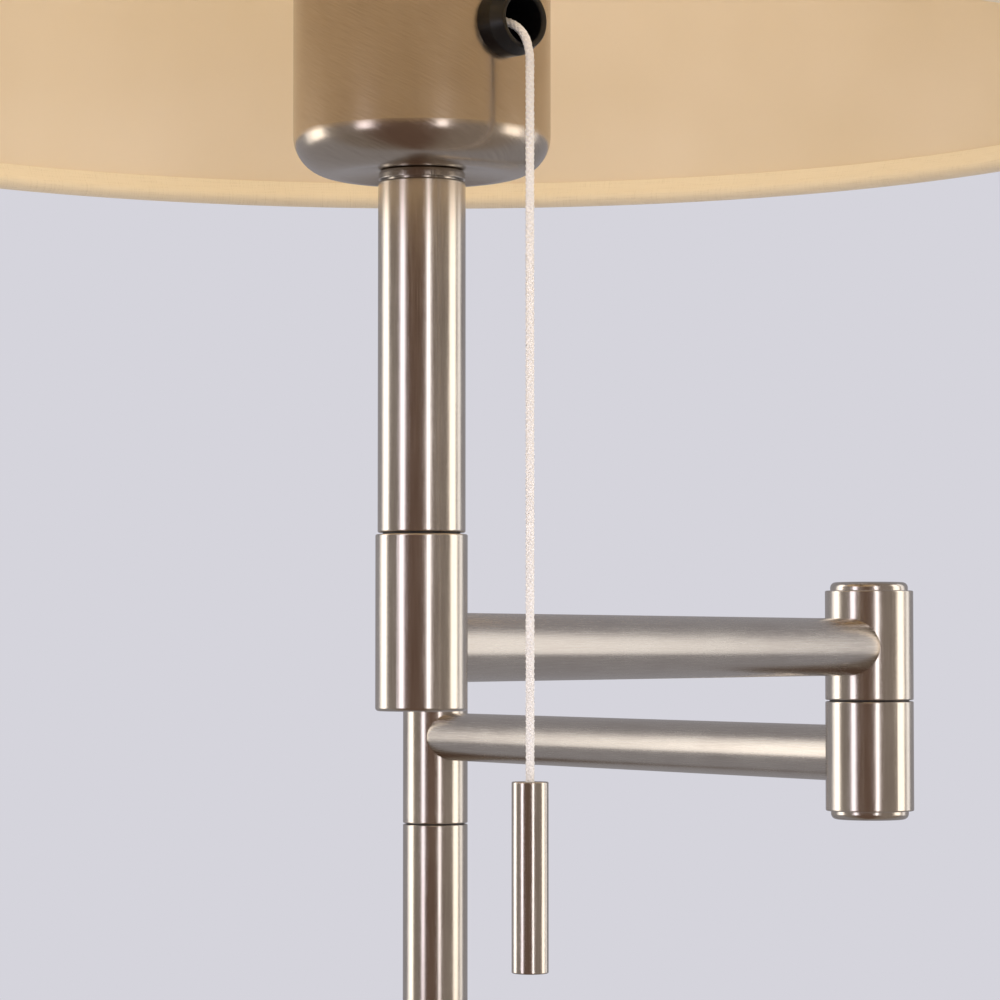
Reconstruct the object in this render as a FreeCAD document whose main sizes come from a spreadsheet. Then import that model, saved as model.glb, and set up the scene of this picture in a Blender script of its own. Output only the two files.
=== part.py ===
"""Swing-arm floor lamp with a round fabric shade and a pull-cord switch.

Millimetres, +Z up. The origin is the centre of the base's underside, on the floor. The pole stands on it, and
the two arms reach forward, along -Y, to the head. Every sub-part is modelled at its height above the floor,
and its Placement carries it to its own axis: the pole's, the elbow's or the head's.
"""
import FreeCAD, Part
import Sketcher
import math
import os
import re

V = FreeCAD.Vector

SIZES = {
    # base
    "base_diameter": 280, "base_height": 26, "base_sheet": 1.2, "base_edge_round": 9,
    "felt_thickness": 2, "felt_inset": 2,
    "weight_gap": 3, "weight_thickness": 13, "weight_boss_radius": 30,
    "nut_well_radius": 17, "nut_well_depth": 14,
    "washer_radius": 14, "washer_thickness": 1.6,
    "inlet_height": 9.5, "inlet_flange_radius": 6.4, "inlet_flange_thickness": 2.5,
    "inlet_shank_radius": 5, "inlet_bore_radius": 3.6, "inlet_shank_length": 7, "inlet_clear_length": 10,
    # hollow threaded pins, nuts and washers
    "pin_radius": 5, "pin_bore": 3.2, "pin_running_gap": 0.05, "loose_gap": 0.2,
    "nut_flats": 12.5, "nut_height": 3.5, "spring_washer_radius": 6.6, "spring_washer_thickness": 1,
    "swivel_gap": 0.4, "seam_round": 0.4,
    # pole
    "pole_diameter": 22, "pole_wall": 1.5, "foot_ring_width": 6, "foot_ring_height": 8,
    "plug_length": 22, "coupler_length": 40, "coupler_bore": 6,
    "lower_arm_height": 1130,
    # knuckles, arms and hub
    "pole_knuckle_below": 29.4, "pole_knuckle_above": 12.5, "pole_cap_height": 1.2,
    "knuckle_floor": 5, "slim_chamber_radius": 7.8,
    "arm_length": 235, "arm_diameter": 16, "arm_wall": 1.5,
    "lower_arm_yaw": -57.3, "upper_arm_yaw": -121.5,
    "elbow_diameter": 25, "elbow_height": 31, "elbow_arm_offset": 15, "elbow_chamber_radius": 9.3,
    "cap_inset": 1.5, "cap_height": 2.4, "cap_spigot": 3, "cap_round": 1.6, "pole_cap_round": 0.8,
    "hub_diameter": 21, "hub_above": 25.7, "hub_below": 14.4, "hub_bottom_round": 0.8,
    "wire_radius": 1.9, "wire_hole_radius": 3, "wire_gap": 0.3,
    # stem and cup
    "stem_diameter": 20, "stem_wall": 1.5, "stem_length": 80,
    "collar_inset": 0.1, "collar_height": 2.6, "collar_spigot": 14, "collar_gap": 0.4, "collar_round": 1,
    "cup_diameter": 58.8, "cup_height": 68, "cup_wall": 1, "cup_round": 9, "cup_dish": 1.2,
    "lid_thickness": 2, "lid_sink": 1, "lid_fit_gap": 0.1,
    # pull switch
    "bush_yaw": -49, "bush_height": 31.4, "bush_radius": 7.8, "bush_stand": 6.2, "bush_bore": 5.2,
    "bush_lip_radius": 6.5, "bush_taper": 3,
    "bush_shank_radius": 6.3, "bush_shank_length": 12, "bush_lip_wall": 1,
    "bush_nut_radius": 9, "bush_nut_thickness": 2.6,
    "switch_reach": 17, "switch_gap": 0.5, "switch_width": 14, "switch_height": 26,
    "switch_eye_length": 2,
    "pull_diameter": 8.1, "pull_length": 41.7, "pull_well_radius": 2.6,
    "pull_well_depth": 7, "pull_edge_round": 0.3, "cord_diameter": 2.1,
    # lampholder, bulb and harp
    "saddle_width": 10, "saddle_thickness": 1.5, "saddle_reach": 26, "saddle_upturn": 9,
    "holder_radius": 20, "holder_height": 38, "holder_wall": 2.2, "holder_floor": 6,
    "bulb_cap_radius": 13, "bulb_cap_length": 27, "bulb_radius": 30, "bulb_length": 78,
    "bulb_neck_radius": 14, "bulb_wall": 0.8, "bulb_tangent": 28,
    "harp_wire_radius": 1.6, "harp_half_width": 48, "harp_shoulder": 40,
    "stud_radius": 3, "stud_length": 14, "finial_radius": 7.5, "finial_height": 16, "finial_cone": 4,
    "finial_roof": 2,
    # shade
    "shade_above_cup": 15.2, "shade_bottom_radius": 180, "shade_top_radius": 150, "shade_height": 225,
    "fabric_thickness": 0.6, "liner_thickness": 0.5, "trim_thickness": 0.4, "trim_width": 9,
    "ring_wire_radius": 1.6, "spider_drop": 12, "spider_wire_radius": 1.6, "spider_hub_radius": 10,
    "spider_hub_thickness": 1.5,
}

PLACES = {
    # the three swivel axes, seen from above
    "elbow_x": "arm_length * cos(lower_arm_yaw)",
    "elbow_y": "arm_length * sin(lower_arm_yaw)",
    "head_x": "elbow_x + arm_length * cos(upper_arm_yaw)",
    "head_y": "elbow_y + arm_length * sin(upper_arm_yaw)",
    # heights up the base and pole
    "base_radius": "base_diameter / 2",
    "weight_top": "felt_thickness + weight_thickness",
    "nut_well_top": "felt_thickness + nut_well_depth",
    "base_nut_top": "nut_well_top - washer_thickness",
    "pole_radius": "pole_diameter / 2",
    "pole_bore": "pole_radius - pole_wall",
    "pole_seam": "lower_arm_height - pole_knuckle_below",
    "pole_top": "pole_seam - swivel_gap",
    "pole_tube_length": "(pole_top - base_height) / 3",
    # heights up the elbow, hub, stem and cup
    "elbow_radius": "elbow_diameter / 2",
    "elbow_lower_seam": "lower_arm_height + elbow_arm_offset",
    "elbow_upper_seam": "elbow_lower_seam + swivel_gap",
    "upper_arm_height": "elbow_upper_seam + elbow_arm_offset",
    "hub_radius": "hub_diameter / 2",
    "hub_top": "upper_arm_height + hub_above",
    "hub_bottom": "upper_arm_height - hub_below",
    "stem_radius": "stem_diameter / 2",
    "stem_bore": "stem_radius - stem_wall",
    "stem_bottom": "hub_top + swivel_gap",
    "stem_top": "stem_bottom + stem_length",
    "cup_radius": "cup_diameter / 2",
    "cup_floor": "stem_top + collar_height",
    "cup_bottom": "cup_floor - cup_dish",
    "cup_top": "cup_bottom + cup_height",
    "lid_top": "cup_top - lid_sink",
    "bush_axis": "cup_bottom + bush_height",
    "bush_reach": "cup_radius + bush_stand",
    "switch_back": "pin_radius + switch_gap",
    # heights of the light and the shade
    "holder_bottom": "lid_top + saddle_thickness",
    "holder_top": "holder_bottom + holder_height",
    "bulb_bottom": "holder_bottom + holder_floor + bulb_cap_length",
    "shade_bottom": "cup_bottom + shade_above_cup",
    "shade_top": "shade_bottom + shade_height",
    "spider_bottom": "shade_top - spider_drop - spider_hub_thickness",
    "harp_top": "spider_bottom - harp_wire_radius",
    "pin_stand": "knuckle_floor + spring_washer_thickness + nut_height + 1",
}

# The pull cord's route, chosen by hand: how far each point lies from the head's axis along the bush,
# sideways from the bush, and above the bush's axis.
CORD_ROUTE = [(19.6, -4.4, 1.6), (30.8, -1.9, 0.9), (37.2, 0.0, -4.4), (37.2, 0.0, -202.0)]
CORD_INTO_PULL = 33.8

doc = FreeCAD.newDocument("swing_arm_floor_lamp")
dims = doc.addObject("Spreadsheet::Sheet", "dims")
places = doc.addObject("Spreadsheet::Sheet", "places")
subparts = []


def sheet_names(text):
    """Writes each size's name in an expression as the cell that holds it."""
    def cell(match):
        name = match.group(0)
        if name in SIZES:
            return "dims." + name
        return "places." + name if name in PLACES else name
    return re.sub(r"[a-z][a-z_]*[a-z]", cell, text)


def fill_sheets():
    for row, (name, size) in enumerate(SIZES.items(), 1):
        dims.set(f"A{row}", name)
        dims.set(f"B{row}", str(size))
        dims.setAlias(f"B{row}", name)
    doc.recompute()
    for row, (name, formula) in enumerate(PLACES.items(), 1):
        places.set(f"A{row}", name)
        places.set(f"B{row}", "=" + sheet_names(formula))
        places.setAlias(f"B{row}", name)
        doc.recompute()


def value(text):
    """The number that an expression of sizes gives now."""
    number = dims.evalExpression(sheet_names(text))
    return float(getattr(number, "Value", number))


def bind(obj, prop, text):
    obj.setExpression(prop, sheet_names(text))


def carry(obj, at=None, yaw=None, height=None):
    """Sets a sub-part on the pole's axis, or carries it to the elbow's or the head's, and turns it."""
    if at:
        bind(obj, "Placement.Base.x", at + "_x")
        bind(obj, "Placement.Base.y", at + "_y")
    if height:
        bind(obj, "Placement.Base.z", height)
    if yaw:
        bind(obj, "Placement.Rotation.Angle", yaw)
    return obj


def subpart(obj, label):
    """Gives a finished sub-part its own name and lists it to be written."""
    obj.Label = label
    subparts.append(obj)
    return obj


def turned(name, profile, rounds=()):
    """A body of revolution about Z. profile is its half section as (radius, height) pairs, and rounds are
    (radius, height, fillet radius) at the edges to round, all as expressions."""
    body = doc.addObject("PartDesign::Body", name)
    sketch = body.newObject("Sketcher::SketchObject", name + "_section")
    plane = next(f for f in body.Origin.OriginFeatures if f.Role == "XZ_Plane")
    sketch.AttachmentSupport = [(plane, "")]
    sketch.MapMode = "FlatFace"
    corners = [V(value(r), value(z), 0) for r, z in profile]
    count = len(corners)
    for i in range(count):
        sketch.addGeometry(Part.LineSegment(corners[i], corners[(i + 1) % count]), False)
    for i in range(count):
        sketch.addConstraint(Sketcher.Constraint("Coincident", i, 2, (i + 1) % count, 1))
    for i, (radius, height) in enumerate(profile):
        if radius == "0":
            sketch.addConstraint(Sketcher.Constraint("PointOnObject", i, 1, -2))
        else:
            at = sketch.addConstraint(Sketcher.Constraint("DistanceX", -1, 1, i, 1, corners[i].x))
            bind(sketch, f"Constraints[{at}]", radius)
        at = sketch.addConstraint(Sketcher.Constraint("DistanceY", -1, 1, i, 1, corners[i].y))
        bind(sketch, f"Constraints[{at}]", height)
    turn = body.newObject("PartDesign::Revolution", name + "_turning")
    turn.Profile = sketch
    turn.ReferenceAxis = (sketch, ["V_Axis"])
    turn.Angle = 360
    doc.recompute()
    last = turn
    for number, (radius, height, round_radius) in enumerate(rounds):
        edges = circle_edges(last.Shape, value(radius), value(height))
        fillet = body.newObject("PartDesign::Fillet", f"{name}_round_{number}")
        fillet.Base = (last, edges)
        bind(fillet, "Radius", round_radius)
        doc.recompute()
        last = fillet
    body.Tip = last
    return body


def circle_edges(shape, radius, height):
    """The names of a turned shape's edges at that radius and height."""
    found = []
    for number, edge in enumerate(shape.Edges, 1):
        first = edge.Vertexes[0].Point
        round_edge = isinstance(edge.Curve, Part.Circle)
        if round_edge and abs(math.hypot(first.x, first.y) - radius) < 1e-4 and abs(first.z - height) < 1e-4:
            found.append(f"Edge{number}")
    if not found:
        raise ValueError(f"no edge at radius {radius} and height {height}")
    return found


def ring(name, outer, inner, low, high, rounds=()):
    return turned(name, [(inner, low), (outer, low), (outer, high), (inner, high)], rounds)


def disc(name, outer, low, high, rounds=()):
    return turned(name, [("0", low), (outer, low), (outer, high), ("0", high)], rounds)


def rod(name, radius, length, lean=None, toward=0, x=None, y=None, z=None, kind="Part::Cylinder"):
    """A plain cylinder from (x, y, z), upright, or leaning by lean degrees towards the bearing toward."""
    obj = doc.addObject(kind, name)
    bind(obj, "Radius" if kind == "Part::Cylinder" else "Radius1", radius)
    bind(obj, "Height", length)
    if lean is not None:
        bearing = math.radians(toward)
        axis = V(-math.sin(bearing), math.cos(bearing), 0)
        obj.Placement = FreeCAD.Placement(V(), FreeCAD.Rotation(axis, value(lean)))
        bind(obj, "Placement.Rotation.Angle", lean)
    for letter, text in (("x", x), ("y", y), ("z", z)):
        if text:
            bind(obj, f"Placement.Base.{letter}", text)
    return obj


def block(name, length, width, height, x, y, z):
    obj = doc.addObject("Part::Box", name)
    for prop, text in (("Length", length), ("Width", width), ("Height", height),
                       ("Placement.Base.x", x), ("Placement.Base.y", y), ("Placement.Base.z", z)):
        bind(obj, prop, text)
    return obj


def cut(name, base, tool):
    obj = doc.addObject("Part::Cut", name)
    obj.Base = base
    obj.Tool = tool
    return obj


def fuse(name, shapes):
    obj = doc.addObject("Part::MultiFuse", name)
    obj.Shapes = shapes
    return obj


def hex_nut(name, low, height):
    """A hexagon nut on a pin: its flats are nut_flats apart."""
    hexagon = doc.addObject("Part::Prism", name + "_hexagon")
    hexagon.Polygon = 6
    bind(hexagon, "Circumradius", "nut_flats / sqrt(3)")
    bind(hexagon, "Height", height)
    bind(hexagon, "Placement.Base.z", low)
    return cut(name, hexagon, rod(name + "_thread", "pin_radius", height, z=low))


def path_through(route, radii):
    """A wire of straight runs along the route, joined by tangent arcs of those radii at its inner points."""
    edges, start = [], route[0]
    for before, corner, after, radius in zip(route, route[1:], route[2:], radii):
        come, go = (before - corner).normalize(), (after - corner).normalize()
        half_turn = (math.pi - come.getAngle(go)) / 2
        reach = radius * math.tan(half_turn)
        inward = (come + go).normalize()
        middle = corner + inward * (radius / math.cos(half_turn) - radius)
        arc_start, arc_end = corner + come * reach, corner + go * reach
        edges.append(Part.LineSegment(start, arc_start).toShape())
        edges.append(Part.Arc(arc_start, middle, arc_end).toShape())
        start = arc_end
    edges.append(Part.LineSegment(start, route[-1]).toShape())
    return Part.Wire(edges)


def even_radii(route):
    """The largest even arcs: 0.45 of the shorter run beside a corner, over the tangent of half the turn."""
    radii = []
    for before, corner, after in zip(route, route[1:], route[2:]):
        half_turn = (after - corner).getAngle(corner - before) / 2
        radii.append(0.45 * min(corner.distanceToPoint(before), after.distanceToPoint(corner))
                     / math.tan(half_turn))
    return radii


def pipe(label, path, radius):
    """A round pipe along a path, as a sub-part. Its volume is compared with its section times its length."""
    first = path.OrderedEdges[0]
    section = Part.Wire(Part.Circle(first.valueAt(first.FirstParameter),
                                    first.tangentAt(first.FirstParameter), radius).toShape())
    solid = path.makePipeShell([section], True, False)
    expected = math.pi * radius ** 2 * path.Length
    if abs(solid.Volume - expected) > 0.01 * expected:
        raise ValueError(f"{label}: its volume is {solid.Volume:.1f} and should be {expected:.1f}")
    obj = doc.addObject("Part::Feature", label)
    obj.Shape = solid
    return subpart(obj, label)


# ---------------------------------------------------------------- base

def base():
    subpart(disc("felt", "base_radius - felt_inset", "0", "felt_thickness"), "base_felt")
    sheet_radius = "base_radius - base_sheet"
    sheet_top = "base_height - base_sheet"
    shell = turned("cover_shell", [
        ("pin_radius + loose_gap", sheet_top), (sheet_radius, sheet_top), (sheet_radius, "felt_thickness"),
        ("base_radius", "felt_thickness"), ("base_radius", "base_height"),
        ("pin_radius + loose_gap", "base_height"),
    ], [("base_radius", "base_height", "base_edge_round"),
        (sheet_radius, sheet_top, "base_edge_round - base_sheet")])
    inlet = rod("cover_inlet", "inlet_shank_radius", "base_radius", "90", 90, z="inlet_height")
    subpart(cut("cover", shell, inlet), "base_cover")
    casting = turned("casting", [
        ("pin_radius + loose_gap", "nut_well_top"), ("nut_well_radius", "nut_well_top"),
        ("nut_well_radius", "felt_thickness"), ("base_radius - weight_gap", "felt_thickness"),
        ("base_radius - weight_gap", "weight_top"), ("weight_boss_radius", "weight_top"),
        ("weight_boss_radius", sheet_top), ("pin_radius + loose_gap", sheet_top),
    ])
    groove = block("casting_groove", "4 * wire_hole_radius", "base_radius",
                   "inlet_height + inlet_flange_radius - felt_thickness",
                   "-2 * wire_hole_radius", "nut_well_radius - 1", "felt_thickness")
    subpart(cut("weight", casting, groove), "base_weight")
    subpart(ring("nipple", "pin_radius", "pin_bore", "base_nut_top - nut_height - 1",
                 "base_height + plug_length"), "base_nipple")
    subpart(ring("washer", "washer_radius", "pin_radius + loose_gap", "base_nut_top", "nut_well_top"),
            "base_washer")
    subpart(hex_nut("nut", "base_nut_top - nut_height", "nut_height"), "base_nut")
    bush = turned("inlet", [
        ("inlet_bore_radius", "-inlet_shank_length"), ("inlet_shank_radius", "-inlet_shank_length"),
        ("inlet_shank_radius", "0"), ("inlet_flange_radius", "0"),
        ("inlet_flange_radius", "inlet_flange_thickness"), ("inlet_bore_radius", "inlet_flange_thickness"),
    ], [("inlet_flange_radius", "inlet_flange_thickness", "inlet_flange_thickness / 3")])
    bush.Placement = FreeCAD.Placement(V(), FreeCAD.Rotation(V(1, 0, 0), -90))
    bind(bush, "Placement.Base.y", "base_radius")
    bind(bush, "Placement.Base.z", "inlet_height")
    subpart(bush, "cord_inlet_bush")


# ---------------------------------------------------------------- pole and its swivel

def pole():
    foot_radius = "pole_radius + foot_ring_width"
    foot_top = "base_height + foot_ring_height"
    subpart(ring("foot_ring", foot_radius, "pole_radius + loose_gap", "base_height", foot_top,
                 [(foot_radius, foot_top, "foot_ring_width / 2")]), "pole_foot_ring")
    subpart(ring("foot_plug", "pole_bore", "pin_radius", "base_height", "base_height + plug_length"),
            "pole_foot_plug")
    for number, label in enumerate(("lower_pole_tube", "middle_pole_tube", "upper_pole_tube")):
        low = f"base_height + {number} * pole_tube_length"
        high = f"base_height + {number + 1} * pole_tube_length"
        subpart(ring(label, "pole_radius", "pole_bore", low, high,
                     [("pole_radius", low, "seam_round"), ("pole_radius", high, "seam_round")]), label)
    couplers = doc.addObject("Part::Compound", "couplers")
    couplers.Links = [
        ring(f"coupler_{number}", "pole_bore", "coupler_bore",
             f"base_height + {number} * pole_tube_length - coupler_length / 2",
             f"base_height + {number} * pole_tube_length + coupler_length / 2") for number in (1, 2)]
    subpart(couplers, "pole_couplers")
    subpart(ring("top_plug", "pole_bore", "pin_radius", "pole_top - plug_length", "pole_top"),
            "pole_top_plug")
    swivel_pin("pole", "pole_top", "pole_seam", 1, "pole_radius", "plug_length")
    pole_wire()


def pole_wire():
    """The flex inside the lamp: from the inlet bush, up into the nipple, and up the pole to its swivel."""
    far = value("base_radius - inlet_shank_length - inlet_clear_length")
    height = value("nut_well_depth / 2 - wire_radius")
    top = value("lower_arm_height - wire_radius - wire_gap")
    route = [V(0, far, height), V(0, 0, height), V(0, 0, top)]
    pipe("pole_wire", path_through(route, [value("pin_bore + wire_radius")]), value("wire_radius"))


def swivel_pin(name, held_at, seam, up, washer_radius, grip, at=None):
    """A swivel's fixed side: the hollow pin, the friction washer in the seam, and the nut on a spring washer
    beyond the floor that turns. The pin stands up from held_at, or hangs down from it where up is -1, and it
    is threaded into what holds it for the length grip."""
    if up > 0:
        pin_low, pin_high = f"{held_at} - {grip}", f"{seam} + pin_stand"
        washer_low, washer_high = held_at, seam
        spring_low = f"{seam} + knuckle_floor"
        spring_high = f"{spring_low} + spring_washer_thickness"
        nut_low = spring_high
    else:
        pin_low, pin_high = f"{seam} - pin_stand", f"{held_at} + {grip}"
        washer_low, washer_high = seam, held_at
        spring_high = f"{seam} - knuckle_floor"
        spring_low = f"{spring_high} - spring_washer_thickness"
        nut_low = f"{spring_low} - nut_height"
    carry(subpart(ring(name + "_pin", "pin_radius", "pin_bore", pin_low, pin_high), name + "_swivel_pin"), at)
    carry(subpart(ring(name + "_friction", f"{washer_radius} - 3 * seam_round", "pin_radius", washer_low,
                       washer_high), name + "_friction_washer"), at)
    nut = doc.addObject("Part::Compound", name + "_fasteners")
    nut.Links = [ring(name + "_spring", "spring_washer_radius", "pin_radius", spring_low, spring_high),
                 hex_nut(name + "_nut", nut_low, "nut_height")]
    carry(subpart(nut, name + "_nut_and_washer"), at)


# ---------------------------------------------------------------- knuckles and arms

def knuckle(name, label, radius, chamber, floor_face, open_face, arm_height, at=None, yaw=None, toward=0,
            bore="pin_radius + pin_running_gap", rounding="seam_round"):
    """One half of a swivel: a thick tube with a floor that the pin passes through, a chamber behind it, and a
    side hole that lets the flex into the arm. floor_face is its face at the seam."""
    up = value(open_face) > value(floor_face)
    inner_floor = f"{floor_face} + knuckle_floor" if up else f"{floor_face} - knuckle_floor"
    body = turned(name + "_turned", [
        (bore, floor_face), (radius, floor_face), (radius, open_face), (chamber, open_face),
        (chamber, inner_floor), (bore, inner_floor),
    ], [(radius, floor_face, "seam_round"), (radius, open_face, rounding)])
    side_hole = rod(name + "_side_hole", "wire_hole_radius", radius, "90", toward, z=arm_height)
    part = cut(name, body, side_hole)
    return carry(subpart(part, label), at, yaw)


def cap(name, label, radius, spigot, face, height, rounding, at=None, up=1):
    """A turned disc that closes a chamber, with a spigot inside it."""
    sign = "+" if up > 0 else "-"
    back = "-" if up > 0 else "+"
    outer_face = f"{face} {sign} {height}"
    body = turned(name, [
        ("0", f"{face} {back} cap_spigot"), (spigot, f"{face} {back} cap_spigot"), (spigot, face),
        (radius, face), (radius, outer_face), ("0", outer_face),
    ], [(radius, outer_face, rounding)])
    return carry(subpart(body, label), at)


def arm_tube(name, label, near_radius, far_radius, at, yaw, height):
    """An arm's tube, saddled against the knuckle at each of its ends, with its bore open to both."""
    outer = rod(name + "_outer", "arm_diameter / 2", "arm_length", "90", 0)
    inner = rod(name + "_bore", "arm_diameter / 2 - arm_wall", "arm_length", "90", 0)
    hollow = cut(name + "_hollow", outer, inner)
    near = rod(name + "_near_saddle", near_radius, "2 * arm_diameter", z="-arm_diameter")
    far = rod(name + "_far_saddle", far_radius, "2 * arm_diameter", x="arm_length", z="-arm_diameter")
    saddled = cut(name + "_saddled", cut(name + "_near", hollow, near), far)
    return carry(subpart(saddled, label), at, yaw, height)


def lower_arm():
    top = "lower_arm_height + pole_knuckle_above"
    knuckle("pole_knuckle", "pole_knuckle", "pole_radius", "slim_chamber_radius", "pole_seam", top,
            "lower_arm_height", yaw="lower_arm_yaw", rounding="pole_cap_round")
    cap("pole_knuckle_lid", "pole_knuckle_cap", "pole_radius - cap_inset", "slim_chamber_radius", top,
        "pole_cap_height", "pole_cap_round")
    arm_tube("lower_arm", "lower_arm_tube", "pole_radius", "elbow_radius", None, "lower_arm_yaw",
             "lower_arm_height")
    bottom = "elbow_lower_seam - elbow_height"
    knuckle("elbow_low", "elbow_lower_knuckle", "elbow_radius", "elbow_chamber_radius", "elbow_lower_seam",
            bottom, "lower_arm_height", "elbow", "lower_arm_yaw", 180, "pin_radius")
    cap("elbow_low_cap", "elbow_bottom_cap", "elbow_radius - cap_inset", "elbow_chamber_radius", bottom,
        "cap_height", "cap_round", "elbow", up=-1)
    swivel_pin("elbow", "elbow_lower_seam", "elbow_upper_seam", 1, "elbow_radius", "knuckle_floor", "elbow")
    yaw = math.radians(value("lower_arm_yaw"))
    start = V(-math.cos(yaw), -math.sin(yaw), 0) * value("wire_radius") + V(0, 0, value("lower_arm_height"))
    corner = V(value("elbow_x"), value("elbow_y"), value("lower_arm_height"))
    end = V(corner.x, corner.y, value("upper_arm_height - wire_radius - wire_gap"))
    pipe("lower_arm_wire", path_through([start, corner, end], [value("pin_bore + wire_radius")]),
         value("wire_radius"))


def upper_arm():
    top = "elbow_upper_seam + elbow_height"
    knuckle("elbow_up", "elbow_upper_knuckle", "elbow_radius", "elbow_chamber_radius", "elbow_upper_seam",
            top, "upper_arm_height", "elbow", "upper_arm_yaw")
    cap("elbow_up_cap", "elbow_top_cap", "elbow_radius - cap_inset", "elbow_chamber_radius", top,
        "cap_height", "cap_round", "elbow")
    arm_tube("upper_arm", "upper_arm_tube", "elbow_radius", "hub_radius", "elbow", "upper_arm_yaw",
             "upper_arm_height")
    knuckle("hub", "head_hub", "hub_radius", "slim_chamber_radius", "hub_top", "hub_bottom",
            "upper_arm_height", "head", "upper_arm_yaw", 180, rounding="hub_bottom_round")
    subpart(carry(disc("hub_plug", "slim_chamber_radius", "hub_bottom", "hub_bottom + cap_spigot"), "head"),
            "hub_bottom_plug")
    yaw = math.radians(value("upper_arm_yaw"))
    past = V(math.cos(yaw), math.sin(yaw), 0) * value("wire_radius")
    start = V(value("elbow_x"), value("elbow_y"), value("upper_arm_height")) - past
    end = V(value("head_x"), value("head_y"), value("upper_arm_height")) + past
    pipe("upper_arm_wire", path_through([start, end], []), value("wire_radius"))


# ---------------------------------------------------------------- stem, cup and pull switch

def stem():
    subpart(carry(ring("stem_plug", "stem_bore", "pin_radius", "stem_bottom", "stem_bottom + plug_length"),
                  "head"), "stem_foot_plug")
    tube_ends = [("stem_radius", "stem_bottom", "seam_round"), ("stem_radius", "stem_top", "seam_round")]
    subpart(carry(ring("stem", "stem_radius", "stem_bore", "stem_bottom", "stem_top", tube_ends), "head"),
            "stem_tube")
    collar_radius = "stem_radius - collar_inset"
    collar_bottom = "stem_top + collar_gap"
    collar = turned("collar", [
        ("pin_radius", "stem_top - collar_spigot"), ("stem_bore", "stem_top - collar_spigot"),
        ("stem_bore", collar_bottom), (collar_radius, collar_bottom), (collar_radius, "cup_floor"),
        ("pin_radius", "cup_floor"),
    ], [(collar_radius, collar_bottom, "seam_round / 2"), (collar_radius, "cup_floor", "collar_round")])
    subpart(carry(collar, "head"), "stem_collar")
    swivel_pin("head", "stem_bottom", "hub_top", -1, "stem_radius", "plug_length", "head")
    wire_low = "upper_arm_height + wire_radius + wire_gap"
    wire = rod("head_flex", "wire_radius", f"holder_bottom + holder_floor - ({wire_low})", z=wire_low)
    subpart(carry(wire, "head"), "head_wire")


def toward_bush(name, radius, low, high, kind="Part::Cylinder"):
    """A cylinder or cone along the pull bush's axis, from low to high out from the head's axis."""
    return rod(name, radius, f"({high}) - ({low})", "90", value("bush_yaw"), f"({low}) * cos(bush_yaw)",
               f"({low}) * sin(bush_yaw)", "bush_axis", kind)


def cup():
    flat_edge = "cup_radius - cup_round - cup_wall"
    inner = "cup_radius - cup_wall"
    shell = turned("cup_shape", [
        ("pin_radius + loose_gap", "cup_floor"), ("stem_radius", "cup_floor"), (flat_edge, "cup_bottom"),
        ("cup_radius", "cup_bottom"),
        ("cup_radius", "cup_top"), (inner, "cup_top"), (inner, "cup_bottom + cup_wall"),
        (flat_edge, "cup_bottom + cup_wall"), ("stem_radius", "cup_floor + cup_wall"),
        ("pin_radius + loose_gap", "cup_floor + cup_wall"),
    ], [("cup_radius", "cup_bottom", "cup_round"), (inner, "cup_bottom + cup_wall", "cup_round - cup_wall")])
    hole = toward_bush("cup_bush_hole", "bush_shank_radius", "cup_radius / 2", "cup_diameter")
    subpart(carry(cut("cup", shell, hole), "head"), "cup_shell")
    subpart(carry(ring("lid", "cup_radius - cup_wall - lid_fit_gap", "pin_radius", "lid_top - lid_thickness",
                       "lid_top"), "head"), "cup_lid")
    subpart(carry(ring("cup_pipe", "pin_radius", "pin_bore", "stem_top - collar_spigot",
                       "holder_bottom + holder_floor"), "head"), "cup_nipple")


def pull_switch():
    shoulder = "bush_reach - bush_taper"
    barrel = toward_bush("bush_barrel", "bush_radius", "cup_radius / 2", shoulder)
    taper = toward_bush("bush_nose", "bush_radius", shoulder, "bush_reach", kind="Part::Cone")
    bind(taper, "Radius2", "bush_lip_radius")
    inside = rod("bush_seat", "cup_radius", "4 * bush_radius", z="bush_axis - 2 * bush_radius")
    head = cut("bush_head", fuse("bush_outside", [barrel, taper]), inside)
    shank = toward_bush("bush_shank", "bush_shank_radius", "bush_reach - bush_shank_length",
                        "bush_reach - bush_lip_wall")
    body = fuse("bush_body", [head, shank])
    bore = toward_bush("bush_bore_tool", "bush_bore", "0", "2 * bush_reach")
    bush = cut("bush", body, bore)
    subpart(carry(bush, "head"), "cord_bush")
    inner_face = "sqrt((cup_radius - cup_wall) ^ 2 - bush_nut_radius ^ 2)"
    nut = cut("bush_nut", toward_bush("bush_nut_disc", "bush_nut_radius",
                                      f"{inner_face} - bush_nut_thickness", inner_face),
              toward_bush("bush_nut_thread", "bush_shank_radius", "0", "bush_reach"))
    subpart(carry(nut, "head"), "cord_bush_nut")
    box = block("switch_box", "switch_reach - switch_back", "switch_width", "switch_height",
                "switch_back", "-switch_width / 2", "bush_axis - switch_height / 2")
    first = CORD_ROUTE[0]
    eye = rod("switch_eye", "cord_diameter", "switch_eye_length", "90", 0,
              x="switch_reach", y=str(first[1]), z=f"bush_axis + {first[2]}")
    case = fuse("switch_case", [box, eye])
    carry(subpart(case, "pull_switch"), "head", "bush_yaw")


def cord_points():
    """The pull cord's route in the lamp's own frame."""
    yaw = math.radians(value("bush_yaw"))
    head = V(value("head_x"), value("head_y"), value("bush_axis"))
    out, side = V(math.cos(yaw), math.sin(yaw), 0), V(-math.sin(yaw), math.cos(yaw), 0)
    return [head + out * reach + side * sideways + V(0, 0, up) for reach, sideways, up in CORD_ROUTE]


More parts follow.
